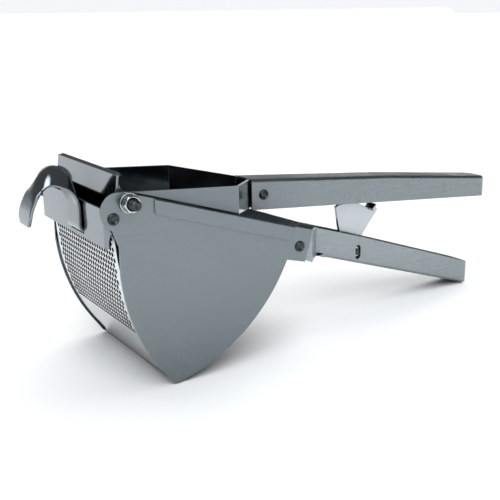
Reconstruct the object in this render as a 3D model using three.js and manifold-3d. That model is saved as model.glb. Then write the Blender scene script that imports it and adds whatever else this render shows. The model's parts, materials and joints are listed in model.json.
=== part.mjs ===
// Potato ricer of stainless sheet: a wedge hopper on a lower handle, a hinged plunger on an upper
// handle, and a latch lever between the handles. Millimetres, +X towards the handle ends, +Z up,
// every piece drawn about the hinge axis; the finished group stands on its crease and lower handle end.

import * as THREE from 'three';
import { mergeVertices } from 'three/addons/utils/BufferGeometryUtils.js';
import Module from 'manifold-3d';

const wasm = await Module();
wasm.setup();

// ---------- driving dimensions ----------

const SHEET = 1; // hopper and plunger sheet
const HANDLE_SHEET = 1.2; // handle channel sheet
const CLEARANCE = 0.3; // between pieces that touch
const HALF_WIDTH = 44; // outer faces of the hopper sides
const INNER_HALF = HALF_WIDTH - SHEET; // inner faces of the hopper sides
const FITTED_HALF = INNER_HALF - CLEARANCE; // pieces that fit between the sides
const CLOSE_DEG = 4.8; // turn from rest until the plunger is shut

const REAR_RADIUS = 95.4; // rear wall about the hinge axis
const REAR_TOP_DEG = -25.6; // where the rear edge leaves the handle tab
const REAR_WALL_TOP_DEG = -26.5; // top edge of the rear wall
const CREASE_DEG = -78; // the crease at the foot of the wedge

const EAR = { x: -5, z: -3.7, radius: 9.1 }; // rounded front corner of each side
const EAR_FROM_DEG = 245;
const EAR_TO_DEG = 75;

const HEM_PROUD = 1; // how far the folded top hem stands out
const HEM = { x0: 12.4, z0: 0.6, x1: 91, z1: -24.2, height: 7 };

const BOLT_RADIUS = 2.5;
const BOLT_END = 53; // tip of each hinge bolt from the middle plane
const HOLE_MARGIN = 0.2; // radial room of a shank in its hole
const RIVET_SHANK = 1.8;
const BRACKET_RIVET = { x: -7.8, z: -6.6 };
const TAB_RIVET = { x: 93.9, z: -35.2 };
const TANG_RIVET = { x: 94.9, z: -14.1 };

const PERFORATED_HALF = 40.4; // half width of the front wall where it stands clear of the sides
const WALL_INSET = 0.9; // how far the front wall lies behind the front edges of the sides
const PRESS_HALF = 40.2; // half width of the pressing face
const PLUNGER_HALF = 38.2; // outer faces of the plunger sides
const PRESS_GAP = 0.6; // room between pressing face and perforated wall when shut
const PRESS_REACH = 93.2; // lower edge of the pressing face from the hinge

const BRACKET_FRONT = -11.6; // front face of the front bracket
const BRACKET_TOP = -2.1;
const BRACKET_FOOT = -20.4;

const HOOK_SHEET = 1.8;
const HOOK_MIDDLE = -7.8; // middle of the hook strap across the width
const HOOK_WIDTH = 16;

const HANDLE_HALF = 8.8; // outer half width of both handle channels
const GRIP_ROUND = 6; // corner radius of the handle ends, seen from above
const JOG = { x0: 61, x1: 86.6 }; // where the plunger sides turn in to the upper handle
const TANG_END = 103;

const LATCH_PIVOT = { x: 161.3, z: -57.4 };
const LATCH_HALF = 1; // half thickness of the latch lever
const LATCH_PIN_RADIUS = 1.5;

const STEEL = { side: 0x848f93, bright: 0xbec5cb, handle: 0x89949a, dark: 0x54585b };

// ---------- helpers ----------

const rad = THREE.MathUtils.degToRad;
const at = (x, z) => new THREE.Vector2(x, z);
const polar = (radius, deg) => at(radius * Math.cos(rad(deg)), radius * Math.sin(rad(deg)));
const turned = (point, deg) => point.clone().rotateAround(at(0, 0), rad(deg));

function toSolid(geometry) {
  const bare = geometry.clone();
  bare.deleteAttribute('normal');
  bare.deleteAttribute('uv');
  const merged = mergeVertices(bare, 1e-4);
  const vertProperties = new Float32Array(merged.attributes.position.array);
  const triVerts = new Uint32Array(merged.index.array);
  return new wasm.Manifold(new wasm.Mesh({ numProp: 3, vertProperties, triVerts }));
}

function toGeometry(solid) {
  const mesh = solid.getMesh();
  const geometry = new THREE.BufferGeometry();
  geometry.setAttribute('position', new THREE.BufferAttribute(new Float32Array(mesh.vertProperties), 3));
  geometry.setIndex(new THREE.BufferAttribute(new Uint32Array(mesh.triVerts), 1));
  const flat = geometry.toNonIndexed();
  flat.computeVertexNormals();
  return flat;
}

// An outline in the X-Z plane, pushed across the width from y0 to y1.
function acrossSolid(shape, y0, y1, curveSegments = 16) {
  const geometry = new THREE.ExtrudeGeometry(shape, { depth: y1 - y0, bevelEnabled: false, curveSegments });
  geometry.rotateX(Math.PI / 2);
  geometry.translate(0, y1, 0);
  return toSolid(geometry);
}

// An outline seen from above, pushed up from z0 to z1.
function uprightSolid(shape, z0, z1, curveSegments = 16) {
  const geometry = new THREE.ExtrudeGeometry(shape, { depth: z1 - z0, bevelEnabled: false, curveSegments });
  geometry.translate(0, 0, z0);
  return toSolid(geometry);
}

// An outline in the Y-Z plane, pushed along the length from x0 to x1.
function facingSolid(shape, x0, x1) {
  const geometry = new THREE.ExtrudeGeometry(shape, { depth: x1 - x0, bevelEnabled: false });
  geometry.rotateX(Math.PI / 2);
  geometry.rotateZ(Math.PI / 2);
  geometry.translate(x0, 0, 0);
  return toSolid(geometry);
}

function outline(points) {
  return new THREE.Shape(points.map((point) => (Array.isArray(point) ? at(...point) : point)));
}

function circlePoints(x, z, radius, count = 24) {
  return Array.from({ length: count }, (_, i) => polar(radius, (360 * i) / count).add(at(x, z)));
}

function punch(shape, x, z, radius) {
  shape.holes.push(new THREE.Path(circlePoints(x, z, radius)));
}

// side is +1 for the left (+Y) and -1 for the right (-Y).
function sidedAcross(shape, side, inner, outer) {
  return side > 0 ? acrossSolid(shape, inner, outer) : acrossSolid(shape, -outer, -inner);
}

const ricer = new THREE.Group();
const metal = (color, roughness) => new THREE.MeshStandardMaterial({ color, roughness, metalness: 1 });

function add(name, solid, color, roughness = 0.3) {
  const mesh = new THREE.Mesh(toGeometry(solid), metal(color, roughness));
  mesh.name = name;
  ricer.add(mesh);
}

const SIDES = [['left', 1], ['right', -1]];

// ---------- front wall curve ----------

// The front of the hopper runs down upright, bends, and slopes to the crease. Offsets are measured
// inwards from the front edges of the sides, so the wall and the pressing face share one curve.
const FRONT = { x: -7.7, z: -14, heading: -85, bendAfter: 21.5, bendRadius: 96.95, slope: -54.8 };

function frontCurve(offset, topZ, reach) {
  const down = polar(1, FRONT.heading);
  const inwards = polar(1, FRONT.heading + 90);
  const sloping = polar(1, FRONT.slope);
  const slopeInwards = polar(1, FRONT.slope + 90);
  const start = at(FRONT.x, FRONT.z);
  const bend = start.clone().addScaledVector(down, FRONT.bendAfter);
  const centre = bend.clone().addScaledVector(inwards, FRONT.bendRadius);
  const radius = FRONT.bendRadius - offset;
  const top = start.clone().addScaledVector(down, (topZ - FRONT.z) / down.y).addScaledVector(inwards, offset);
  const points = [top];
  const steps = 10;
  for (let i = 0; i <= steps; i += 1) {
    const heading = FRONT.heading + ((FRONT.slope - FRONT.heading) * i) / steps;
    points.push(centre.clone().add(polar(radius, heading - 90)));
  }
  const low = centre.clone().addScaledVector(slopeInwards, -radius);
  const along = low.dot(sloping);
  const run = -along + Math.sqrt(along * along - low.lengthSq() + reach * reach);
  points.push(low.addScaledVector(sloping, run));
  return points;
}

// ---------- hopper ----------

const SIDE_EDGE_TOP = -34; // below this the front edge of each side follows the front wall

function hopperSideOutline() {
  const shape = new THREE.Shape();
  shape.moveTo(HEM.x0, HEM.z0);
  shape.lineTo(HEM.x1, HEM.z1);
  shape.lineTo(102.3, -27.6);
  shape.lineTo(97.3, -44.2);
  shape.absarc(0, 0, REAR_RADIUS, rad(REAR_TOP_DEG), rad(CREASE_DEG), true);
  for (const point of frontCurve(0, SIDE_EDGE_TOP, REAR_RADIUS - 2).reverse()) {
    shape.lineTo(point.x, point.y);
  }
  shape.lineTo(-5.7, -20);
  shape.absarc(EAR.x, EAR.z, EAR.radius, rad(EAR_FROM_DEG), rad(EAR_TO_DEG), true);
  return shape;
}

function hemOutline() {
  return outline([
    [HEM.x0, HEM.z0],
    [HEM.x0 + 0.2, HEM.z0 - HEM.height - 0.4],
    [HEM.x1 - 4.3, HEM.z1 - HEM.height + 0.5],
    [HEM.x1, HEM.z1],
  ]);
}

for (const [name, side] of SIDES) {
  const shape = hopperSideOutline();
  punch(shape, 0, 0, BOLT_RADIUS + HOLE_MARGIN);
  punch(shape, BRACKET_RIVET.x, BRACKET_RIVET.z, RIVET_SHANK + HOLE_MARGIN);
  punch(shape, TAB_RIVET.x, TAB_RIVET.z, RIVET_SHANK + HOLE_MARGIN);
  const plate = sidedAcross(shape, side, INNER_HALF, HALF_WIDTH);
  const hem = sidedAcross(hemOutline(), side, HALF_WIDTH - SHEET / 2, HALF_WIDTH + HEM_PROUD);
  add(`hopper_side_${name}`, plate.add(hem), STEEL.side, 0.28);
}

const rearWall = new THREE.Shape();
rearWall.absarc(0, 0, REAR_RADIUS, rad(CREASE_DEG), rad(REAR_WALL_TOP_DEG), false);
rearWall.absarc(0, 0, REAR_RADIUS - SHEET, rad(REAR_WALL_TOP_DEG), rad(CREASE_DEG), true);
add('hopper_rear_wall', acrossSolid(rearWall, -FITTED_HALF, FITTED_HALF), STEEL.side, 0.28);

const PERFORATED_TOP = -14;
const WIDENING = { top: -27, foot: -37 };
const perforatedReach = REAR_RADIUS - SHEET - CLEARANCE;
const perforatedSection = outline([
  ...frontCurve(WALL_INSET, PERFORATED_TOP, perforatedReach),
  ...frontCurve(WALL_INSET + SHEET, PERFORATED_TOP, perforatedReach).reverse(),
]);
// Seen from the front the sheet stands clear of the sides at its top and widens to meet them.
const perforatedFace = outline([
  [-PERFORATED_HALF, 0], [-PERFORATED_HALF, WIDENING.top], [-FITTED_HALF, WIDENING.foot], [-FITTED_HALF, -100],
  [FITTED_HALF, -100], [FITTED_HALF, WIDENING.foot], [PERFORATED_HALF, WIDENING.top], [PERFORATED_HALF, 0],
]);
const perforatedWall = acrossSolid(perforatedSection, -FITTED_HALF, FITTED_HALF)
  .intersect(facingSolid(perforatedFace, -20, 40));
add('perforated_wall', perforatedWall, STEEL.bright, 0.25);

// ---------- front bracket and pot hook ----------

const WING_END = -4.6;
const WING = { top: -3.2, foot: -14 };
const SLOT = { foot: -18.4, top: -15.2, half: HOOK_WIDTH / 2 + 0.5 };

function bracketPlan() {
  const back = BRACKET_FRONT + SHEET;
  return outline([
    [WING_END, FITTED_HALF], [BRACKET_FRONT, FITTED_HALF], [BRACKET_FRONT, -FITTED_HALF],
    [WING_END, -FITTED_HALF], [WING_END, SHEET - FITTED_HALF], [back, SHEET - FITTED_HALF],
    [back, FITTED_HALF - SHEET], [WING_END, FITTED_HALF - SHEET],
  ]);
}

function bracketSide() {
  const back = BRACKET_FRONT + SHEET;
  const shape = outline([
    [BRACKET_FRONT - 1, BRACKET_TOP], [BRACKET_FRONT - 1, BRACKET_FOOT], [back, BRACKET_FOOT],
    [back + 1.5, WING.foot], [WING_END, WING.foot], [WING_END, WING.top], [back + 1.5, WING.top],
    [back, BRACKET_TOP],
  ]);
  punch(shape, BRACKET_RIVET.x, BRACKET_RIVET.z, RIVET_SHANK + HOLE_MARGIN);
  return shape;
}

const slotOutline = outline([
  [BRACKET_FRONT - 2, SLOT.foot], [BRACKET_FRONT + 3, SLOT.foot],
  [BRACKET_FRONT + 3, SLOT.top], [BRACKET_FRONT - 2, SLOT.top],
]);
const bracket = uprightSolid(bracketPlan(), BRACKET_FOOT, BRACKET_TOP)
  .intersect(acrossSolid(bracketSide(), -HALF_WIDTH, HALF_WIDTH))
  .subtract(acrossSolid(slotOutline, HOOK_MIDDLE - SLOT.half, HOOK_MIDDLE + SLOT.half));
add('front_bracket', bracket, STEEL.bright, 0.3);

// The hook is one strap: its foot passes through the bracket's slot, its leg climbs the bracket, and it
// arches forwards and hangs down in front, so it can sit over the rim of a pot. Over the arch the strap
// is dished, so both edges lie below its middle. Each station gives the upper face: middle, then edges.
const HOOK_STATIONS = [
  [-8.2, -16.1, -8.2, -16.1], [-10.9, -16.1, -10.9, -16.1], [-11.95, -15.1, -11.95, -15.1],
  [-11.95, -10, -11.95, -10], [-11.95, -4.6, -11.95, -4.9], [-12.1, 0.4, -13.4, -0.8],
  [-13, 5.4, -16.2, 2.6], [-15.1, 10, -19.4, 4.4], [-18.8, 13.2, -22.4, 5.6], [-23.2, 13.9, -25, 6.2],
  [-27, 12, -27.6, 5.9], [-30, 8.2, -30.2, 4.4], [-32.6, 3.4, -32.8, 2.2], [-34.9, -1.2, -34.9, -1.2],
  [-36.6, -5.2, -36.6, -5.2], [-37.5, -9.2, -37.5, -9.2], [-37.6, -12.3, -37.6, -12.3],
];
const HOOK_DISH = 1.8; // power of the dished cross-section
const HOOK_TIP_FROM = 0.92; // share of the stations where the strap starts to narrow
const HOOK_TIP_HALF = 0.72;

const hookMiddle = new THREE.CatmullRomCurve3(HOOK_STATIONS.map(([x, z]) => new THREE.Vector3(x, 0, z)));
const hookEdge = new THREE.CatmullRomCurve3(HOOK_STATIONS.map(([, , x, z]) => new THREE.Vector3(x, 0, z)));

function hookFace(share, across) {
  const narrowing = THREE.MathUtils.clamp((share - HOOK_TIP_FROM) / (1 - HOOK_TIP_FROM), 0, 1);
  const half = (HOOK_WIDTH / 2) * (1 - (1 - HOOK_TIP_HALF) * narrowing);
  const point = hookMiddle.getPoint(share).lerp(hookEdge.getPoint(share), Math.abs(across) ** HOOK_DISH);
  return point.setY(HOOK_MIDDLE + half * across);
}

function potHook() {
  const geometry = new THREE.BoxGeometry(1, 1, 1, 64, 8, 1);
  const position = geometry.attributes.position;
  const step = 0.004;
  for (let i = 0; i < position.count; i += 1) {
    const share = THREE.MathUtils.clamp(position.getX(i) + 0.5, 0, 1);
    const across = 2 * position.getY(i);
    const along = hookFace(Math.min(share + step, 1), across).sub(hookFace(Math.max(share - step, 0), across));
    const aside = hookFace(share, across + step).sub(hookFace(share, across - step));
    const through = along.cross(aside).normalize();
    const point = hookFace(share, across).addScaledVector(through, (position.getZ(i) + 0.5) * HOOK_SHEET);
    position.setXYZ(i, point.x, point.y, point.z);
  }
  return toSolid(geometry);
}

add('pot_hook', potHook(), STEEL.bright, 0.2);

// ---------- turned fasteners ----------

// A turned piece from [radius, y] pairs; side -1 turns it over to face the right.
function turnedSolid(profile, side, x, z, segments = 24) {
  const geometry = new THREE.LatheGeometry(profile.map(([r, y]) => at(r, y)), segments);
  if (side < 0) {
    geometry.rotateX(Math.PI);
  }
  geometry.translate(x, 0, z);
  return toSolid(geometry);
}

// A rivet through sheet from inner to outer, with a flat inner head and a low domed outer head.
function rivetProfile(inner, outer) {
  const seat = outer + 0.05;
  const innerSeat = inner - 0.05;
  return [
    [0, innerSeat - 0.8], [2.8, innerSeat - 0.8], [2.8, innerSeat], [RIVET_SHANK, innerSeat],
    [RIVET_SHANK, seat], [2.8, seat], [2.8, seat + 0.3], [2.3, seat + 0.75], [1.3, seat + 1], [0, seat + 1.05],
  ];
}

function ringProfile(bore, radius, y0, y1) {
  return [[bore, y0], [radius, y0], [radius, y1], [bore, y1], [bore, y0]];
}

const BUSH_RADIUS = 4;
const WASHER = { radius: 4.7, thickness: 0.9 };
const NUT = { flats: 7.5, height: 3.6 };
const boltHole = BOLT_RADIUS + HOLE_MARGIN;
const washerSeat = HALF_WIDTH + CLEARANCE;
const nutSeat = washerSeat + WASHER.thickness + CLEARANCE;
const boltHeadFace = PLUNGER_HALF - SHEET - CLEARANCE;

function hexNut(side) {
  const shape = new THREE.Shape(circlePoints(0, 0, NUT.flats / 2 / Math.cos(Math.PI / 6), 6));
  punch(shape, 0, 0, boltHole);
  return sidedAcross(shape, side, nutSeat, nutSeat + NUT.height);
}

const boltProfile = [
  [0, boltHeadFace - 1.1], [2.9, boltHeadFace - 1.1], [2.9, boltHeadFace], [BOLT_RADIUS, boltHeadFace],
  [BOLT_RADIUS, BOLT_END - 0.5], [BOLT_RADIUS - 0.5, BOLT_END], [0, BOLT_END],
];

for (const [name, side] of SIDES) {
  const rivet = rivetProfile(FITTED_HALF - SHEET, HALF_WIDTH);
  add(`bracket_rivet_${name}`, turnedSolid(rivet, side, BRACKET_RIVET.x, BRACKET_RIVET.z), STEEL.dark);
  add(`hinge_bolt_${name}`, turnedSolid(boltProfile, side, 0, 0), STEEL.dark);
  add(`hinge_nut_${name}`, hexNut(side), STEEL.bright, 0.25);
  const washer = ringProfile(boltHole, WASHER.radius, washerSeat, washerSeat + WASHER.thickness);
  add(`hinge_washer_${name}`, turnedSolid(washer, side, 0, 0, 32), STEEL.bright, 0.25);
  const bush = ringProfile(boltHole, BUSH_RADIUS, PLUNGER_HALF + CLEARANCE, FITTED_HALF);
  add(`hinge_bush_${name}`, turnedSolid(bush, side, 0, 0), STEEL.bright, 0.3);
}

// ---------- handles ----------

function roundedEndPlan(x0, x1, half, round) {
  const shape = new THREE.Shape();
  shape.moveTo(x0, -half);
  shape.lineTo(x1 - round, -half);
  shape.absarc(x1 - round, -half + round, round, rad(-90), 0, false);
  shape.absarc(x1 - round, half - round, round, 0, rad(90), false);
  shape.lineTo(x0, half);
  return shape;
}

// A channel is its outside profile less a trough that is open on one long side and at the front.
function channel(outside, trough, x0, x1) {
  const inner = HANDLE_HALF - HANDLE_SHEET;
  const low = -120;
  const high = 40;
  const round = GRIP_ROUND - HANDLE_SHEET;
  const body = acrossSolid(outline(outside), -HANDLE_HALF, HANDLE_HALF)
    .intersect(uprightSolid(roundedEndPlan(x0 - 1, x1, HANDLE_HALF, GRIP_ROUND), low, high, 6));
  const hollow = acrossSolid(outline(trough), -inner, inner)
    .intersect(uprightSolid(roundedEndPlan(x0 - 5, x1 - HANDLE_SHEET, inner, round), low, high, 6));
  return body.subtract(hollow);
}

function handleHoles(solid, place, radius, inner, outer) {
  const hole = new THREE.Shape(circlePoints(place.x, place.z, radius));
  return solid
    .subtract(sidedAcross(hole, 1, inner, outer))
    .subtract(sidedAcross(hole, -1, inner, outer));
}

const tangHole = RIVET_SHANK + HOLE_MARGIN;

const UPPER = {
  front: 87.2, end: 267.6, topFront: -4.9, kinkX: 184.3, topKink: -13.8, topEnd: -23.4,
  bottomFront: -21.8, bottomEnd: -36.2,
};
const upperOutside = [
  [UPPER.front, UPPER.topFront], [UPPER.kinkX, UPPER.topKink], [UPPER.end, UPPER.topEnd],
  [UPPER.end, UPPER.bottomEnd], [UPPER.front, UPPER.bottomFront],
];
const upperTrough = [
  [UPPER.front - 4, UPPER.topFront - HANDLE_SHEET + 0.37], [UPPER.kinkX, UPPER.topKink - HANDLE_SHEET],
  [UPPER.end + 1, UPPER.topEnd - HANDLE_SHEET - 0.12], [UPPER.end + 1, -50], [UPPER.front - 4, -50],
];
const upperHandle = handleHoles(
  channel(upperOutside, upperTrough, UPPER.front, UPPER.end), TANG_RIVET, tangHole, 5, 10,
);
add('upper_handle', upperHandle, STEEL.handle, 0.3);

const GROUND = REAR_RADIUS * Math.sin(rad(CREASE_DEG)); // the crease and the lower handle end stand on it
const LOWER = {
  front: 126.5, end: 255.8, topFront: -36.6, kinkX: 162.5, topKink: -47.9, topEnd: -79.5,
  bottomFront: -53.3, bottomEndX: 252,
};
const lowerSlope = (GROUND - LOWER.bottomFront) / (LOWER.bottomEndX - LOWER.front);
const lowerOutside = [
  [LOWER.front, LOWER.bottomFront], [LOWER.bottomEndX, GROUND], [LOWER.end, LOWER.topEnd],
  [LOWER.kinkX, LOWER.topKink], [LOWER.front, LOWER.topFront],
];
const lowerFloor = (x) => LOWER.bottomFront + lowerSlope * (x - LOWER.front) + HANDLE_SHEET * 1.05;
const lowerTrough = [
  [LOWER.front - 4, lowerFloor(LOWER.front - 4)], [LOWER.end + 2, lowerFloor(LOWER.end + 2)],
  [LOWER.end + 2, 0], [LOWER.front - 4, 0],
];

// Each side of the lower channel splays out ahead of the grip and runs along the inside of the hopper.
const YOKE = { x0: 84, splay: 102.5, meet: 130 };

function yokeArm(side) {
  const inner = HANDLE_HALF - HANDLE_SHEET;
  const plan = outline([
    [YOKE.x0, side * FITTED_HALF], [YOKE.splay + 0.3, side * FITTED_HALF],
    [YOKE.meet + 0.3, side * HANDLE_HALF], [LOWER.front + 10, side * HANDLE_HALF],
    [LOWER.front + 10, side * inner], [YOKE.meet - 0.4, side * inner],
    [YOKE.splay - 0.3, side * (FITTED_HALF - HANDLE_SHEET)], [YOKE.x0, side * (FITTED_HALF - HANDLE_SHEET)],
  ]);
  const profile = outline([
    [YOKE.x0, -23.6], [YOKE.splay, -28.6], [YOKE.meet, -37.7], [LOWER.front + 10, -39.7],
    [LOWER.front + 10, -56.6], [YOKE.meet, -54.4], [YOKE.splay, -45.6], [92, -41], [YOKE.x0, -36],
  ]);
  return uprightSolid(plan, -120, 0).intersect(acrossSolid(profile, -HALF_WIDTH, HALF_WIDTH));
}

const LATCH_SLOT = { half: 1.9, rise: 2.4 };

function latchSlotOutline() {
  const shape = new THREE.Shape();
  const { x, z } = LATCH_PIVOT;
  shape.absarc(x, z - LATCH_SLOT.rise, LATCH_SLOT.half, rad(180), rad(360), false);
  shape.absarc(x, z + LATCH_SLOT.rise, LATCH_SLOT.half, 0, rad(180), false);
  return shape;
}

let lowerHandle = channel(lowerOutside, lowerTrough, LOWER.front, LOWER.end);
const splayCut = outline([[LOWER.front - 2, 0], [LOWER.front - 2, -51], [YOKE.meet, -51], [YOKE.meet, 0]]);
lowerHandle = lowerHandle.subtract(acrossSolid(splayCut, -HALF_WIDTH, HALF_WIDTH));
for (const [, side] of SIDES) {
  lowerHandle = lowerHandle.add(yokeArm(side));
}
lowerHandle = handleHoles(lowerHandle, TAB_RIVET, tangHole, 40, HALF_WIDTH);
lowerHandle = lowerHandle.subtract(acrossSolid(latchSlotOutline(), -10, 10));
add('lower_handle', lowerHandle, STEEL.handle, 0.3);

for (const [name, side] of SIDES) {
  const tabRivet = rivetProfile(FITTED_HALF - HANDLE_SHEET, HALF_WIDTH);
  add(`lower_handle_rivet_${name}`, turnedSolid(tabRivet, side, TAB_RIVET.x, TAB_RIVET.z), STEEL.dark);
}

// ---------- plunger ----------

const PLATE_TOP = at(-2.6, 11.9); // where the plunger front folds back into its lip, at rest
const LIP_TIP = at(-0.5, 12.7);
const LIP_UNDERSIDE = [at(-1.66, 11.2), at(-0.14, 11.77)];
const LIP_HALF = PLUNGER_HALF - 2;
const KNEE_Z = -8; // where the plunger front bends into the pressing face

function pressCurve(extra) {
  const offset = WALL_INSET + SHEET + PRESS_GAP + extra;
  const shut = frontCurve(offset, KNEE_Z, PRESS_REACH);
  return shut.map((point) => turned(point, CLOSE_DEG));
}

const pressFront = pressCurve(0);
const pressBack = pressCurve(SHEET);
const pressSection = outline([LIP_TIP, PLATE_TOP, ...pressFront, ...pressBack.reverse(), ...LIP_UNDERSIDE]);
let pressingPlate = acrossSolid(pressSection, -PRESS_HALF, PRESS_HALF);
const PRESS_SHOULDER = -16; // above this the plate narrows to pass inside the ears
for (const [, side] of SIDES) {
  const trim = outline([[-20, PRESS_SHOULDER], [30, PRESS_SHOULDER], [30, 30], [-20, 30]]);
  const lipTrim = outline([[-20, PLATE_TOP.y], [30, PLATE_TOP.y], [30, 30], [-20, 30]]);
  pressingPlate = pressingPlate
    .subtract(sidedAcross(trim, side, PLUNGER_HALF, HALF_WIDTH))
    .subtract(sidedAcross(lipTrim, side, LIP_HALF, HALF_WIDTH));
}
add('pressing_plate', pressingPlate, STEEL.bright, 0.22);

const TANG_HALF = HANDLE_HALF - HANDLE_SHEET - CLEARANCE; // tangs fit inside the upper handle

function plungerPlan(side) {
  return outline([
    [-6, side * PLUNGER_HALF], [JOG.x0 + 0.3, side * PLUNGER_HALF], [JOG.x1 + 0.3, side * TANG_HALF],
    [TANG_END, side * TANG_HALF], [TANG_END, side * (TANG_HALF - SHEET)],
    [JOG.x1 - 0.4, side * (TANG_HALF - SHEET)], [JOG.x0 - 0.3, side * (PLUNGER_HALF - SHEET)],
    [-6, side * (PLUNGER_HALF - SHEET)],
  ]);
}

function plungerSide() {
  const against = pressCurve(SHEET + CLEARANCE);
  const lean = (against[0].x - PLATE_TOP.x - SHEET - CLEARANCE) / (against[0].y - PLATE_TOP.y);
  const top = at(against[0].x + lean * (8 - against[0].y), 8);
  const shape = new THREE.Shape();
  shape.moveTo(top.x, top.y);
  for (const point of against) {
    shape.lineTo(point.x, point.y);
  }
  shape.lineTo(32, -79);
  shape.lineTo(JOG.x0 - 0.5, -17.5);
  shape.lineTo(JOG.x0, -14.6);
  shape.lineTo(JOG.x1, -20.6);
  shape.lineTo(TANG_END, -20.2);
  shape.lineTo(TANG_END, -8.4);
  shape.lineTo(JOG.x1 + 0.25, -6.9);
  shape.lineTo(JOG.x1 - 0.4, -5);
  shape.lineTo(JOG.x0, -0.6);
  shape.lineTo(2.6, 3.5);
  shape.quadraticCurveTo(top.x + 0.6, 3.8, top.x, top.y);
  punch(shape, 0, 0, boltHole);
  punch(shape, TANG_RIVET.x, TANG_RIVET.z, tangHole);
  return shape;
}

for (const [name, side] of SIDES) {
  const profile = acrossSolid(plungerSide(), -HALF_WIDTH, HALF_WIDTH);
  add(`plunger_side_${name}`, uprightSolid(plungerPlan(side), -120, 40).intersect(profile), STEEL.side, 0.28);
  const tangRivet = rivetProfile(TANG_HALF - SHEET, HANDLE_HALF);
  add(`upper_handle_rivet_${name}`, turnedSolid(tangRivet, side, TANG_RIVET.x, TANG_RIVET.z), STEEL.dark);
}

// ---------- latch ----------

function latchOutline() {
  const { x, z } = LATCH_PIVOT;
  const shape = outline([
    [150.2, -29.9], [152.4, -28.8], [163.5, -28.2], [176, -34], [178.3, -30.8], [182.3, -35.6], [170.1, -50.2],
  ]);
  shape.lineTo(x + 4.2, z);
  shape.absarc(x, z, 4.2, 0, rad(-180), true);
  shape.lineTo(152.3, -42);
  punch(shape, x, z, LATCH_PIN_RADIUS + HOLE_MARGIN);
  return shape;
}

// A thumb tab folds to both sides of the lever's upper tip.
const thumbTab = outline([[176, -34], [178.3, -30.8], [179.3, -32], [176.9, -35.4]]);
const latchLever = acrossSolid(latchOutline(), -LATCH_HALF, LATCH_HALF).add(acrossSolid(thumbTab, -4, 4));
add('latch_lever', latchLever, STEEL.bright, 0.25);

const latchPinEnd = HANDLE_HALF - 0.4;
const latchPin = [
  [0, -latchPinEnd], [LATCH_PIN_RADIUS, -latchPinEnd], [LATCH_PIN_RADIUS, latchPinEnd], [0, latchPinEnd],
];
add('latch_pin', turnedSolid(latchPin, 1, LATCH_PIVOT.x, LATCH_PIVOT.z), STEEL.dark);

for (const [name, side] of SIDES) {
  const reach = HANDLE_HALF - HANDLE_SHEET - CLEARANCE;
  const sleeve = ringProfile(LATCH_PIN_RADIUS + HOLE_MARGIN, 3, LATCH_HALF + CLEARANCE, reach);
  add(`latch_spacer_${name}`, turnedSolid(sleeve, side, LATCH_PIVOT.x, LATCH_PIVOT.z), STEEL.bright);
}

// ---------- origin: middle of the base ----------

const extent = new THREE.Box3().setFromObject(ricer);
const middle = extent.getCenter(new THREE.Vector3());
ricer.position.set(-middle.x, -middle.y, -extent.min.z);

export default ricer;
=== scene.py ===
"""Looks of a stainless potato ricer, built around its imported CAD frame. Lengths named in millimetres
are about the hinge axis: x towards the handle ends, y across the width, z up."""

import json
import math

import bmesh
import bpy
from mathutils import Matrix, Vector


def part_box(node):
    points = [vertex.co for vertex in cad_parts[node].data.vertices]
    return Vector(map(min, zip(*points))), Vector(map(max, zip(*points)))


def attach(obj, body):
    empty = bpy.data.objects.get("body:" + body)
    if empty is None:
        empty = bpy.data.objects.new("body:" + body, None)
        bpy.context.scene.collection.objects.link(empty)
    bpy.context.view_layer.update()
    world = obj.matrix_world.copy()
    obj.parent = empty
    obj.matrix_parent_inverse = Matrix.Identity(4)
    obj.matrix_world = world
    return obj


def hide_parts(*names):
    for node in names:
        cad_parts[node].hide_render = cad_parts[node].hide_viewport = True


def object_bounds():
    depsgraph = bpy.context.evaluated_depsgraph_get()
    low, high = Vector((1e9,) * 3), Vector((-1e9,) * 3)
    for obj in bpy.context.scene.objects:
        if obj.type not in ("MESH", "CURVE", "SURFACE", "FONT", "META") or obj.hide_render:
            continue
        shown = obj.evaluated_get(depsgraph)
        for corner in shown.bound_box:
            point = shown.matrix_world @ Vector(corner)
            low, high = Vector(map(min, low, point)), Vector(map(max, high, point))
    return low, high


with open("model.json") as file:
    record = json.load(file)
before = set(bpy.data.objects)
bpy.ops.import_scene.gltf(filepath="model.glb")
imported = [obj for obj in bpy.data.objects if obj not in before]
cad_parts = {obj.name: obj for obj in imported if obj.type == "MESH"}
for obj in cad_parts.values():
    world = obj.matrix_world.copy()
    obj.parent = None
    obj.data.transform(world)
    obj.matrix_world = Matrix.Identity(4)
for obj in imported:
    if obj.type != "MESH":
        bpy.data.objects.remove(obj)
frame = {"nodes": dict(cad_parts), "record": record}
cad_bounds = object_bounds()
NODES = frame["nodes"]
BODIES = frame["record"]["behaviour"]["bodies"]
BODY_OF = {node: body for body, members in BODIES.items() for node in members}
SLOT_OF = {part["node"]: part["material_slot"] for part in frame["record"]["subparts"]}

MM = 0.001
bolt_low, bolt_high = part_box("hinge_bolt_right")
HINGE = Vector(((bolt_low.x + bolt_high.x) / 2, 0, (bolt_low.z + bolt_high.z) / 2))
SIDES = ("left", "right")


def spot(x, y, z):
    """A point given in millimetres about the hinge, as a point of the frame in metres."""
    return HINGE + Vector((x, y, z)) * MM


# ---------- materials ----------

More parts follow.
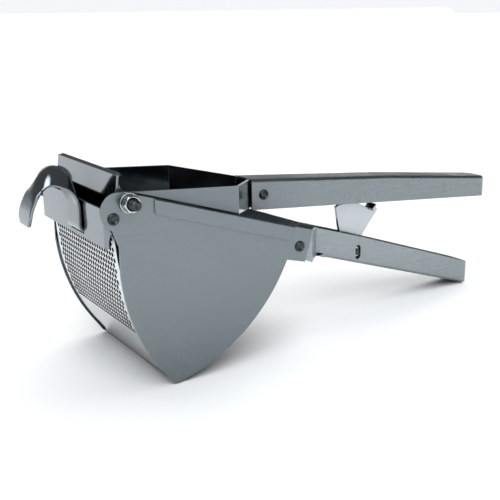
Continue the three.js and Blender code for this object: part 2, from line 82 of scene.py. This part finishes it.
class Graph:
    """Short names for making the nodes of one material."""

    def __init__(self, name):
        self.material = bpy.data.materials.new(name)
        self.material.use_nodes = True
        self.tree = self.material.node_tree
        self.shader = self.tree.nodes["Principled BSDF"]
        self.coords = self.tree.nodes.new("ShaderNodeTexCoord").outputs["Object"]

    def node(self, kind, **values):
        made = self.tree.nodes.new(kind)
        for key, value in values.items():
            setattr(made, key, value)
        return made

    def feed(self, socket, value):
        if isinstance(value, bpy.types.NodeSocket):
            self.tree.links.new(value, socket)
        else:
            socket.default_value = value

    def noise(self, scale, detail=3.0, stretch=(1, 1, 1), distortion=0.0, offset=(0, 0, 0)):
        mapping = self.node("ShaderNodeMapping")
        self.feed(mapping.inputs["Vector"], self.coords)
        mapping.inputs["Scale"].default_value = stretch
        mapping.inputs["Location"].default_value = offset
        texture = self.node("ShaderNodeTexNoise")
        self.feed(texture.inputs["Vector"], mapping.outputs["Vector"])
        texture.inputs["Scale"].default_value = scale
        texture.inputs["Detail"].default_value = detail
        texture.inputs["Distortion"].default_value = distortion
        return texture.outputs["Fac"]

    def spread(self, value, low, high, to_low=0.0, to_high=1.0):
        """value from low..high mapped to to_low..to_high, and held at the ends."""
        made = self.node("ShaderNodeMapRange")
        self.feed(made.inputs["Value"], value)
        for key, number in (("From Min", low), ("From Max", high), ("To Min", to_low), ("To Max", to_high)):
            made.inputs[key].default_value = number
        return made.outputs["Result"]

    def math(self, operation, a, b):
        made = self.node("ShaderNodeMath", operation=operation)
        self.feed(made.inputs[0], a)
        self.feed(made.inputs[1], b)
        return made.outputs[0]

    def mix(self, factor, a, b):
        made = self.node("ShaderNodeMix", data_type="RGBA")
        self.feed(made.inputs["Factor"], factor)
        self.feed(made.inputs["A"], a)
        self.feed(made.inputs["B"], b)
        return made.outputs["Result"]

    def edges(self, radius):
        """About 1 along convex and concave edges and 0 on open faces."""
        rounded = self.node("ShaderNodeBevel", samples=4)
        rounded.inputs["Radius"].default_value = radius
        true = self.node("ShaderNodeNewGeometry").outputs["Normal"]
        alike = self.node("ShaderNodeVectorMath", operation="DOT_PRODUCT")
        self.feed(alike.inputs[0], rounded.outputs["Normal"])
        self.feed(alike.inputs[1], true)
        return self.spread(alike.outputs["Value"], 0.995, 0.9)

    def open_air(self, reach):
        """About 1 on open faces and towards 0 deep inside hollows and gaps."""
        made = self.node("ShaderNodeAmbientOcclusion", samples=8)
        made.inputs["Distance"].default_value = reach
        return made.outputs["AO"]

    def bump(self, height, distance, strength=1.0, normal=None):
        made = self.node("ShaderNodeBump")
        made.inputs["Strength"].default_value = strength
        made.inputs["Distance"].default_value = distance
        self.feed(made.inputs["Height"], height)
        if normal is not None:
            self.feed(made.inputs["Normal"], normal)
        return made.outputs["Normal"]


def rgb(r, g, b, share=1.0):
    return (r * share, g * share, b * share, 1.0)


# painted shade: the dark colour laid into gaps, hollows and faces near the floor, where shade falls
PAINTED_SHADE_TINT = rgb(0.06, 0.058, 0.056)
EDGE_SPREAD = 0.3       # how much duller a rubbed edge is
GAP_REACH = 0.012       # metres: how near another face must be for painted shade to darken a gap
HOLLOW_REACH = 0.08     # metres: the same for a wide hollow, and for the floor below, which paints a contact shadow
HOLLOW_SHARE = 0.6      # how strong a hollow's painted shade is against a gap's
CLOUDS, PRINTS, WAVES = 34.0, 260.0, 22.0  # noise scales, per metre


def steel(name, tint, roughness, grain, streak, mottle, edge_wear_and_sheen=1.5, edge=0.0007, swing=0.06, painted_shade_share=0.75):
    """Stainless sheet: fine brushing along one direction, cloudy handling marks, a faint waviness of
    the rolled sheet, edges duller and painted lighter (part edge wear, part painted highlight), and painted
    shade in gaps, hollows and near the floor."""
    g = Graph(name)
    streaks = g.noise(1.0, 4.0, grain)
    clouds = g.noise(CLOUDS, 4.0, distortion=0.8, offset=(3.1, 0.7, 1.9))
    prints = g.noise(PRINTS, 3.0, distortion=1.6, offset=(7.7, 2.3, 5.1))
    waves = g.noise(WAVES, 1.0, offset=(1.3, 9.2, 4.4))
    lines = g.spread(streaks, 0.3, 0.7, -streak, streak)
    shade = g.math("ADD", g.spread(clouds, 0.3, 0.7, 0.2, 0.8), lines)
    plain = g.mix(shade, rgb(*tint, 0.95), rgb(*tint, 1.05))
    spotted = g.mix(g.spread(prints, 0.52, 0.74, 0.0, mottle), plain, rgb(*tint, 0.72))
    # edges painted lighter, part edge wear and part painted highlight; the same mask also makes them
    # rougher
    edge_wear_and_sheen_mask = g.math("MULTIPLY", g.edges(edge), g.spread(clouds, 0.25, 0.6, 0.55, 1.0))
    edge_wear_and_sheen_tint = rgb(*(min(1, channel * edge_wear_and_sheen) for channel in tint))
    # painted shade: ambient occlusion pulls gaps, hollows and faces near the floor towards the dark shade
    # colour
    gaps = g.spread(g.open_air(GAP_REACH), 0.2, 0.7, painted_shade_share, 0.0)
    hollows = g.spread(g.open_air(HOLLOW_REACH), 0.3, 0.95, HOLLOW_SHARE * painted_shade_share, 0.0)
    painted_shade_mask = g.math("MAXIMUM", gaps, hollows)
    bare = g.mix(edge_wear_and_sheen_mask, spotted, edge_wear_and_sheen_tint)
    g.feed(g.shader.inputs["Base Color"], g.mix(painted_shade_mask, bare, PAINTED_SHADE_TINT))
    cloudy = g.spread(clouds, 0.3, 0.7, roughness - swing, roughness + swing)
    printed = g.math("ADD", cloudy, g.spread(prints, 0.5, 0.75, 0.0, 0.12 * mottle))
    brushed = g.math("ADD", printed, g.math("MULTIPLY", lines, 0.4 * swing))
    dulled = g.math("MULTIPLY", edge_wear_and_sheen_mask, EDGE_SPREAD)
    g.feed(g.shader.inputs["Roughness"], g.math("ADD", brushed, dulled))
    normal = g.bump(waves, 0.0004, 0.25)
    normal = g.bump(streaks, 0.000004, 0.5 * streak, normal)
    g.feed(g.shader.inputs["Normal"], normal)
    g.shader.inputs["Metallic"].default_value = 1.0
    return g.material


ALONG_Z, ALONG_Y, ALONG_X, ROUND = (60, 60, 2200), (60, 1800, 60), (25, 1500, 1500), (900, 900, 900)

# each look's tint, roughness, brushing, streaks, mottling, and what differs from a plain sheet
LOOKS = {
    "satin_sheet": ((0.205, 0.237, 0.252), 0.24, ALONG_Z, 0.35, 0.08, {}),
    "polished_sheet": ((0.24, 0.268, 0.289), 0.08, ALONG_Y, 0.3, 0.15, {"swing": 0.03, "painted_shade_share": 0.9}),
    "plunger_sheet": ((0.2, 0.228, 0.249), 0.14, ALONG_Z, 0.3, 0.12, {"painted_shade_share": 0.9}),
    # a lighter copy of handle_sheet for the lower handle, painted light for how light falls on the lower
    # grip
    "handle_sheet_painted_lit": ((0.33, 0.372, 0.391), 0.3, ALONG_X, 0.9, 0.4, {}),
    # a lighter copy of the stainless sheet for the latch lever, painted light for how its tilted flap
    # catches the light
    "latch_sheet_painted_lit": ((0.56, 0.6, 0.635), 0.16, ALONG_Z, 0.3, 0.15, {"edge_wear_and_sheen": 1.3}),
    # near black on the hole walls and cut edges of the perforated sheet: painted shade in the holes
    "painted_shade_rim": ((0.03, 0.032, 0.034), 0.4, ROUND, 0.3, 0.2, {}),
    "perforated_sheet": ((0.7, 0.727, 0.745), 0.12, ALONG_Y, 0.2, 0.15, {"edge_wear_and_sheen": 1.2, "painted_shade_share": 0.9}),
    "handle_sheet": ((0.245, 0.282, 0.298), 0.3, ALONG_X, 0.8, 0.4, {}),
    "bright_hardware": ((0.6, 0.63, 0.65), 0.15, ROUND, 0.3, 0.3, {"edge": 0.0004}),
    "rivet_steel": ((0.06, 0.068, 0.07), 0.32, ROUND, 0.4, 0.5, {"edge_wear_and_sheen": 2.0, "edge": 0.0003}),
}
FINISH = {name: steel(name, *values, **more) for name, (*values, more) in LOOKS.items()}
# the latch lever and the lower handle take lighter copies of their sheet, painted light
LOOK_OF = {
    "latch_lever": "latch_sheet_painted_lit", "lower_handle": "handle_sheet_painted_lit",
    "plunger_side_left": "plunger_sheet", "plunger_side_right": "plunger_sheet",
}


# ---------- pieces ----------

def finish_piece(piece, node):
    """The piece rides on the CAD node's body, stands for it, and takes its slot's finish, or its own."""
    piece.data.materials.clear()
    piece.data.materials.append(FINISH[LOOK_OF.get(node, SLOT_OF[node])])
    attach(piece, BODY_OF[node])
    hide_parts(node)
    return piece


def new_piece(name, bm):
    mesh = bpy.data.meshes.new(name)
    bmesh.ops.recalc_face_normals(bm, faces=bm.faces)
    bm.to_mesh(mesh)
    bm.free()
    for polygon in mesh.polygons:
        polygon.use_smooth = True
    piece = bpy.data.objects.new(name, mesh)
    bpy.context.scene.collection.objects.link(piece)
    return piece


def even_normals(piece):
    """Shading normals that keep broad faces flat beside narrow rounded edges."""
    weighted = piece.modifiers.new("even_normals", "WEIGHTED_NORMAL")
    weighted.weight = 50
    weighted.keep_sharp = True


WELD = 2e-6             # metres
FLAT = math.radians(0.4)
SHARP = math.radians(28)
WIDEST_BEND = 2.0
EDGE = 0.22
CUT_EDGE = 0.04
HOOK_EDGE = 0.55
LATCH_EDGE = 0.35


def dressed(node, weight=None, segments=2, edge=EDGE):
    """The CAD node's shape with its flat faces made whole and its edges rounded.
    weight(edge) gives the radius in millimetres of a bend, or None for the usual small one."""
    bm = bmesh.new()
    bm.from_mesh(NODES[node].data)
    bmesh.ops.remove_doubles(bm, verts=bm.verts, dist=WELD)
    bmesh.ops.dissolve_limit(bm, angle_limit=FLAT, verts=bm.verts, edges=bm.edges)
    bmesh.ops.dissolve_degenerate(bm, edges=bm.edges, dist=WELD)
    bm.normal_update()
    layer = bm.edges.layers.float.new("bevel_weight_edge")
    for e in bm.edges:
        if len(e.link_faces) == 2 and e.calc_face_angle(0) > SHARP:
            radius = weight(e) if weight else None
            e[layer] = (edge if radius is None else radius) / WIDEST_BEND
    piece = new_piece(node + ".look", bm)
    rounding = piece.modifiers.new("rounding", "BEVEL")
    rounding.limit_method = "WEIGHT"
    rounding.width = WIDEST_BEND * MM
    rounding.segments = segments
    rounding.use_clamp_overlap = False
    rounding.loop_slide = False
    rounding.miter_outer = "MITER_SHARP"
    even_normals(piece)
    return finish_piece(piece, node)


def turned(node, profile, segments=64, face=None):
    """A turned piece about the CAD node's own axis across the width. profile is (radius, y) pairs in
    millimetres, y outwards from the middle plane; a closed ring repeats its first pair."""
    low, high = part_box(node)
    axis_x, axis_z = (low.x + high.x) / 2, (low.z + high.z) / 2
    side = -1 if high.y < 0 else 1
    bm = bmesh.new()
    rings = []
    for radius, y in profile:
        if radius == 0:
            rings.append([bm.verts.new((axis_x, side * y * MM, axis_z))])
            continue
        ring = []
        for i in range(segments):
            angle = 2 * math.pi * i / segments
            r, rise = face(angle, radius, y) if face else (radius, y)
            ring.append(bm.verts.new((axis_x + r * MM * math.cos(angle), side * rise * MM,
                                      axis_z + r * MM * math.sin(angle))))
        rings.append(ring)
    closed = profile[0] == profile[-1]
    if closed:
        for v in rings.pop():
            bm.verts.remove(v)
        rings.append(rings[0])
    for one, two in zip(rings, rings[1:]):
        for i in range(segments):
            j = (i + 1) % segments
            corners = [one[i % len(one)], one[j % len(one)], two[j % len(two)], two[i % len(two)]]
            unique = list(dict.fromkeys(corners))
            if len(unique) > 2:
                bm.faces.new(unique)
    piece = new_piece(node + ".look", bm)
    even_normals(piece)
    return finish_piece(piece, node)


def rounded_ring(node, bore, lip=0.15):
    """A plain turned ring with eased corners, of the CAD node's length and outside radius."""
    low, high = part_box(node)
    ys = sorted((abs(low.y) / MM, abs(high.y) / MM))
    radius = (high.x - low.x) / 2 / MM
    ease = 0.3 * lip
    return turned(node, [
        (bore, ys[0] + lip), (bore + lip, ys[0]), (radius - lip, ys[0]), (radius - ease, ys[0] + ease),
        (radius, ys[0] + lip), (radius, ys[1] - lip), (radius - ease, ys[1] - ease),
        (radius - lip, ys[1]), (bore + lip, ys[1]), (bore, ys[1] - lip), (bore, ys[0] + lip),
    ])


# ---------- hopper ----------

HEM_LINE = ((12.4, 0.6), (91.0, -24.2))
HEM_RADIUS = 0.75
ON_LINE = 0.1


def side_plate_radius(e):
    """The folded hem is fully round along its top; every other edge is a cut sheet edge."""
    (x0, z0), (x1, z1) = HEM_LINE
    for v in e.verts:
        p = (v.co - HINGE) / MM
        line = z0 + (z1 - z0) * (p.x - x0) / (x1 - x0)
        if abs(p.z - line) > ON_LINE or not x0 - ON_LINE < p.x < x1 + ON_LINE:
            return None
    return HEM_RADIUS


for label in SIDES:
    dressed(f"hopper_side_{label}", side_plate_radius, segments=3)

dressed("hopper_rear_wall")

BRACKET_BEND = 2.2


def bracket_radius(e):
    """The bracket's two upright corners are bends."""
    a, b = e.verts[0].co, e.verts[1].co
    low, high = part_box("front_bracket")
    upright = abs(a.x - b.x) < 1e-5 and abs(a.y - b.y) < 1e-5
    at_corner = a.x < low.x + 1e-5 and abs(abs(a.y) - high.y) < 1e-5
    return BRACKET_BEND if upright and at_corner else None


dressed("front_bracket", bracket_radius, segments=4)


# ---------- perforated wall ----------

WALL = {
    "x": -6.8, "z": -14.0, "heading": -85.0,
    "bend_after": 21.42, "bend_radius": 96.05, "slope": -54.8,
}
WALL_SHEET = 1.0
WALL_HALF = 40.4
WALL_FOOT_HALF = 42.7
WALL_WIDENS = (-27.0, -37.0)
HOLE_RADIUS = 1.1
HOLE_PITCH = 3.0
ROW_PITCH = 2.66
FIRST_ROW = 2.0
ROWS = 19
HOLES_PER_ROW = 25
STAGGER = HOLE_PITCH / 4
CELL_SIDES = 12
FOOT_ROWS = 22
PUNCHED_ROUNDING = 0.12
FOOT_SEARCH = (60.0, 0.05)


def direction(degrees):
    return Vector((math.cos(math.radians(degrees)), math.sin(math.radians(degrees))))


def wall_point(s):
    """Place (x, z) and outward normal of the wall's front face, s millimetres below its top edge."""
    start = Vector((WALL["x"], WALL["z"]))
    turn = math.radians(WALL["slope"] - WALL["heading"])
    bend = WALL["bend_radius"] * turn
    straight = WALL["bend_after"]
    heading = WALL["heading"]
    point = start + direction(heading) * min(s, straight)
    if s > straight:
        swept = math.degrees(min(s - straight, bend) / WALL["bend_radius"])
        centre = point + direction(heading + 90) * WALL["bend_radius"]
        heading += swept
        point = centre + direction(heading - 90) * WALL["bend_radius"]
    if s > straight + bend:
        point += direction(heading) * (s - straight - bend)
    return point, direction(heading - 90)


def wall_length():
    """Length of the wall down to where the CAD solid ends."""
    foot = (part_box("perforated_wall")[0].z - HINGE.z) / MM
    s, step = FOOT_SEARCH
    while wall_point(s)[0].y > foot:
        s += step
    return s - step


def wall_half(s):
    z = wall_point(s)[0].y
    top, foot = WALL_WIDENS
    share = min(1.0, max(0.0, (top - z) / (top - foot)))
    return WALL_HALF + (WALL_FOOT_HALF - WALL_HALF) * share


def perforated_wall():
    """The sheet is laid out flat as cells with a round hole each, then every point goes to its place
    on the curve and the sheet gets its thickness."""
    bm = bmesh.new()
    seen = {}

    def vert(s, y):
        key = (round(s, 4), round(y, 4))
        if key not in seen:
            (x, z), _ = wall_point(s)
            seen[key] = bm.verts.new(spot(x, y, z))
        return seen[key]

    def patch(s0, s1, lefts, rights, columns):
        """Plain sheet between two rows, from one edge to the other."""
        for i in range(columns):
            a, b = i / columns, (i + 1) / columns
            upper, lower = rights[0] - lefts[0], rights[1] - lefts[1]
            bm.faces.new([
                vert(s0, lefts[0] + upper * a), vert(s0, lefts[0] + upper * b),
                vert(s1, lefts[1] + lower * b), vert(s1, lefts[1] + lower * a),
            ])

    def cell(s0, y0):
        """One cell: a ring of faces from its outline to its round hole."""
        s1, y1 = s0 + ROW_PITCH, y0 + HOLE_PITCH
        quarter = HOLE_PITCH / 4
        outline = [(s0, y0 + quarter * i) for i in range(5)] + [((s0 + s1) / 2, y1)]
        outline += [(s1, y1 - quarter * i) for i in range(5)] + [((s0 + s1) / 2, y0)]
        sm, ym = (s0 + s1) / 2, (y0 + y1) / 2
        ring = []
        for s, y in outline:
            away = Vector((s - sm, y - ym)).normalized() * HOLE_RADIUS
            ring.append(vert(sm + away.x, ym + away.y))
        outer = [vert(s, y) for s, y in outline]
        for i in range(CELL_SIDES):
            j = (i + 1) % CELL_SIDES
            bm.faces.new([outer[i], outer[j], ring[j], ring[i]])

    reach = HOLES_PER_ROW * HOLE_PITCH / 2
    margin = HOLE_PITCH / 4
    for row in range(ROWS):
        s0 = FIRST_ROW + row * ROW_PITCH
        s1 = s0 + ROW_PITCH
        shift = STAGGER if row % 2 else -STAGGER
        for i in range(HOLES_PER_ROW):
            cell(s0, -reach + shift + i * HOLE_PITCH)
        halves = wall_half(s0), wall_half(s1)
        for side in (-1, 1):
            field = side * reach + shift
            inner = side * (reach + margin)
            if abs(inner - field) > 1e-6:
                steps = round(abs(inner - field) / margin)
                patch(s0, s1, (field, field), (inner, inner), steps)
            patch(s0, s1, (inner, inner), (side * halves[0], side * halves[1]), 2)
    field_end = FIRST_ROW + ROWS * ROW_PITCH
    columns = round(2 * (reach + margin) / margin)
    foot = wall_length()
    below = [field_end + (foot - field_end) * i / FOOT_ROWS for i in range(FOOT_ROWS + 1)]
    bands = [(0.0, FIRST_ROW), *zip(below, below[1:])]
    for s0, s1 in bands:
        patch(s0, s1, (-reach - margin,) * 2, (reach + margin,) * 2, columns)
        for side in (-1, 1):
            inner = side * (reach + margin)
            patch(s0, s1, (inner, inner), (side * wall_half(s0), side * wall_half(s1)), 2)
    piece = new_piece("perforated_wall.look", bm)
    if piece.data.polygons[0].normal.x > 0:
        piece.data.flip_normals()
    sheet = piece.modifiers.new("sheet", "SOLIDIFY")
    sheet.thickness = WALL_SHEET * MM
    sheet.offset = -1
    sheet.use_even_offset = True
    punched = piece.modifiers.new("punched_edges", "BEVEL")
    punched.limit_method = "ANGLE"
    punched.angle_limit = math.radians(50)
    punched.width = PUNCHED_ROUNDING * MM
    punched.segments = 1
    even_normals(piece)
    finish_piece(piece, "perforated_wall")
    # the hole walls and the sheet's cut edges take the near-black finish, painted shade in the holes
    piece.data.materials.append(FINISH["painted_shade_rim"])
    sheet.material_offset_rim = 1


perforated_wall()


# ---------- pot hook ----------

dressed("pot_hook", edge=HOOK_EDGE, segments=3)


# ---------- rivets, bolts, nuts ----------

def set_rivet(node):
    """A flat shop head inside; outside a rim round a dished middle, as the setting tool leaves it."""
    low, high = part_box(node)
    inner, outer = sorted((abs(low.y) / MM, abs(high.y) / MM))
    seat = outer - 1.05
    turned(node, [
        (0, inner), (2.55, inner), (2.75, inner + 0.08), (2.8, inner + 0.25),
        (2.8, inner + 0.8), (1.8, inner + 0.8), (1.8, seat), (2.75, seat),
        (2.8, seat + 0.12), (2.77, seat + 0.4), (2.62, seat + 0.72), (2.4, seat + 0.95),
        (2.15, outer), (1.95, outer - 0.06), (1.75, outer - 0.3), (1.5, outer - 0.55),
        (1.1, outer - 0.68), (0.6, outer - 0.72), (0, outer - 0.73),
    ])


THREAD_PITCH = 0.8
THREAD_DEPTH = 0.28
THREAD_LENGTH = 9
THREAD_STEPS = 96


def threaded_bolt(node):
    """A cheese-head bolt whose outer end shows its thread, a chamfer and a small centre mark."""
    low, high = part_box(node)
    inner, outer = sorted((abs(low.y) / MM, abs(high.y) / MM))
    start, end = outer - THREAD_LENGTH, outer - 0.55

    def ridge(angle, radius, y):
        if not start < y < end or radius < 2.4:
            return radius, y
        phase = (y / THREAD_PITCH - angle / (2 * math.pi)) % 1.0
        return radius - THREAD_DEPTH * abs(2 * phase - 1) ** 1.3, y

    profile = [(0, inner), (2.6, inner), (2.85, inner + 0.2), (2.9, inner + 0.4)]
    profile += [(2.9, inner + 1.1), (2.5, inner + 1.1)]
    profile += [(2.5, start + (end - start) * i / THREAD_STEPS) for i in range(THREAD_STEPS + 1)]
    profile += [(2.22, end + 0.1), (1.85, outer - 0.08), (1.7, outer)]
    profile += [(0.75, outer), (0.6, outer - 0.2), (0, outer - 0.35)]
    turned(node, profile, segments=72, face=ridge)


def hex_nut(node, bore=2.55):
    """A pressed hexagon nut: flats, corners cut back by the chamfer, and a countersunk bore."""
    low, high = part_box(node)
    near, far = sorted((abs(low.y) / MM, abs(high.y) / MM))
    half_flats = min(high.x - low.x, high.z - low.z) / 2 / MM
    shoulder = half_flats * 0.97
    chamfer = math.tan(math.radians(32))

    def hexagon(angle, radius, y):
        if radius <= shoulder + 0.01:
            return radius, y
        within = (angle % (math.pi / 3)) - math.pi / 6
        corner = half_flats / math.cos(within)
        drop = max(0.0, corner - shoulder) * chamfer
        middle = (near + far) / 2
        share = (y - middle) / (far - middle)
        return corner - 0.05 * abs(share) ** 8, y - math.copysign(drop, share) if abs(share) > 0.9 else y

    profile = [(bore, near + 0.45), (bore + 0.4, near), (shoulder, near)]
    profile += [(half_flats + 0.1, y) for y in (near + 0.02, near + 0.6, far - 0.6, far - 0.02)]
    profile += [(shoulder, far), (bore + 0.45, far), (bore, far - 0.5), (bore, near + 0.45)]
    turned(node, profile, segments=96, face=hexagon)


for label in SIDES:
    set_rivet(f"bracket_rivet_{label}")
    set_rivet(f"lower_handle_rivet_{label}")
    set_rivet(f"upper_handle_rivet_{label}")
    threaded_bolt(f"hinge_bolt_{label}")
    hex_nut(f"hinge_nut_{label}")
    rounded_ring(f"hinge_washer_{label}", 2.7)
    rounded_ring(f"hinge_bush_{label}", 2.7)
    rounded_ring(f"latch_spacer_{label}", 1.7)

pin_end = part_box("latch_pin")[1].y / MM
turned("latch_pin", [
    (0, -pin_end), (1.2, -pin_end), (1.42, -pin_end + 0.08), (1.5, -pin_end + 0.25),
    (1.5, pin_end - 0.25), (1.42, pin_end - 0.08), (1.2, pin_end), (0, pin_end),
])


# ---------- handles ----------

UPPER_BEND = 1.8
LOWER_BEND = 2.0
INSIDE_BEND = 0.45
BROAD = 150e-6  # square metres: the web of a channel is broader than this, its cut edges are not


def channel_radius(up, front, bend):
    """Long corners of a channel are bends, outside and inside; up is the way its web faces."""
    def radius(e):
        if all(v.co.x < front + 0.5 * MM for v in e.verts):
            return None
        outside = any(f.normal.z * up > 0.9 and f.calc_area() > BROAD for f in e.link_faces)
        inside = any(f.normal.z * up < -0.9 and f.calc_area() > BROAD for f in e.link_faces)
        if outside and e.is_convex:
            return bend
        if inside and not e.is_convex:
            return INSIDE_BEND
        return None
    return radius


dressed("upper_handle", channel_radius(1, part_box("upper_handle")[0].x, UPPER_BEND), segments=4)
dressed("lower_handle", channel_radius(-1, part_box("lower_handle")[0].x, LOWER_BEND), segments=4)


# ---------- plunger and latch ----------

dressed("pressing_plate", segments=3)
for label in SIDES:
    dressed(f"plunger_side_{label}", edge=CUT_EDGE)
dressed("latch_lever", edge=LATCH_EDGE, segments=3)


# ---------- floor, light, camera ----------

def backdrop():
    """A pale floor that turns up in a low cove far behind."""
    bm = bmesh.new()
    half, front, back, rise = 30.0, -30.0, 30.0, 0.3
    profile = [(front, 0.0), (back - rise, 0.0)]
    profile += [(back - rise + rise * math.sin(math.radians(a)), rise - rise * math.cos(math.radians(a)))
                for a in range(10, 91, 10)]
    rows = [[bm.verts.new((x, y, z)) for x in (-half, half)] for y, z in profile]
    for one, two in zip(rows, rows[1:]):
        bm.faces.new([one[0], one[1], two[1], two[0]])
    floor = new_piece("floor", bm)
    g = Graph("pale_floor")
    cloud = g.noise(3.0, 3.0)
    g.feed(g.shader.inputs["Base Color"], g.mix(cloud, *FLOOR_TINTS))
    g.feed(g.shader.inputs["Roughness"], g.spread(g.noise(9.0, 2.0), 0.3, 0.7, 0.75, 0.9))
    floor.data.materials.append(g.material)
    floor.location.z = cad_bounds[0][2] - FLOOR_GAP


SWEEP = 0.95
SWEEP_ENDS = (0.02, 0.16)      # sine of the height where the sweep starts to fade and is gone
CEILING = 0.17
SOFTBOX = 4.0
SOFTBOX_RIM = (0.84, 0.95)     # cosine of the angle from its middle, outside and inside the soft rim
SOFTBOX_TOWARDS = Vector((-0.3, -0.5, 0.68))
KEY = 2.45
KEY_SPREAD = math.radians(80)
KEY_HEADING = Vector((-0.3, -0.4, -1.0))
WORLD_TINT = (0.96, 0.98, 1.0, 1.0)
FLOOR_TINTS = (rgb(0.82, 0.825, 0.83), rgb(0.86, 0.865, 0.87))
FLOOR_GAP = 0.0002             # metres: the floor lies this far under the object


def studio():
    """A white sweep round the horizon, a dark ceiling and one soft box high in front. The broad key
    lights the floor, and the polished metal is lit by what it mirrors."""
    world = bpy.data.worlds.new("studio")
    world.use_nodes = True
    tree = world.node_tree
    split = tree.nodes.new("ShaderNodeSeparateXYZ")
    towards = tree.nodes.new("ShaderNodeTexCoord").outputs["Generated"]
    tree.links.new(towards, split.inputs["Vector"])
    near_box = tree.nodes.new("ShaderNodeVectorMath")
    near_box.operation = "DOT_PRODUCT"
    tree.links.new(towards, near_box.inputs[0])
    near_box.inputs[1].default_value = SOFTBOX_TOWARDS.normalized()
    both = tree.nodes.new("ShaderNodeMath")
    both.operation = "ADD"
    sweep = (split.outputs["Z"], *SWEEP_ENDS, SWEEP, CEILING)
    box = (near_box.outputs["Value"], *SOFTBOX_RIM, 0.0, SOFTBOX)
    for i, (source, *numbers) in enumerate((sweep, box)):
        fade = tree.nodes.new("ShaderNodeMapRange")
        fade.interpolation_type = "SMOOTHSTEP"
        tree.links.new(source, fade.inputs["Value"])
        for key, number in zip(("From Min", "From Max", "To Min", "To Max"), numbers):
            fade.inputs[key].default_value = number
        tree.links.new(fade.outputs["Result"], both.inputs[i])
    background = tree.nodes["Background"]
    background.inputs["Color"].default_value = WORLD_TINT
    tree.links.new(both.outputs[0], background.inputs["Strength"])
    bpy.context.scene.world = world
    sun = bpy.data.lights.new("broad_key", "SUN")
    sun.energy = KEY
    sun.angle = KEY_SPREAD
    lamp = bpy.data.objects.new("broad_key", sun)
    lamp.rotation_euler = KEY_HEADING.to_track_quat("-Z", "Y").to_euler()
    lamp.visible_glossy = False
    bpy.context.scene.collection.objects.link(lamp)
    bpy.context.scene.view_settings.view_transform = "Standard"


CAMERA_AIM = spot(90.85, 0, -46.7)
CAMERA_AZIMUTH = math.radians(-31.76)
CAMERA_ELEVATION = math.radians(15.54)
CAMERA_ROLL = math.radians(-1.01)
CAMERA_DISTANCE = 0.4769
LENS_PER_SENSOR = 1.7025


def camera():
    data = bpy.data.cameras.new("camera")
    data.sensor_width = 36.0
    data.lens = LENS_PER_SENSOR * data.sensor_width
    data.clip_start = 0.01
    eye = bpy.data.objects.new("camera", data)
    back = Vector((
        math.sin(CAMERA_AZIMUTH) * math.cos(CAMERA_ELEVATION),
        -math.cos(CAMERA_AZIMUTH) * math.cos(CAMERA_ELEVATION),
        math.sin(CAMERA_ELEVATION),
    ))
    look = (-back).to_track_quat("-Z", "Y").to_matrix().to_4x4()
    roll = Matrix.Rotation(CAMERA_ROLL, 4, "Z")
    eye.matrix_world = Matrix.Translation(CAMERA_AIM + back * CAMERA_DISTANCE) @ look @ roll
    bpy.context.scene.collection.objects.link(eye)
    bpy.context.scene.camera = eye


backdrop()
studio()
camera()
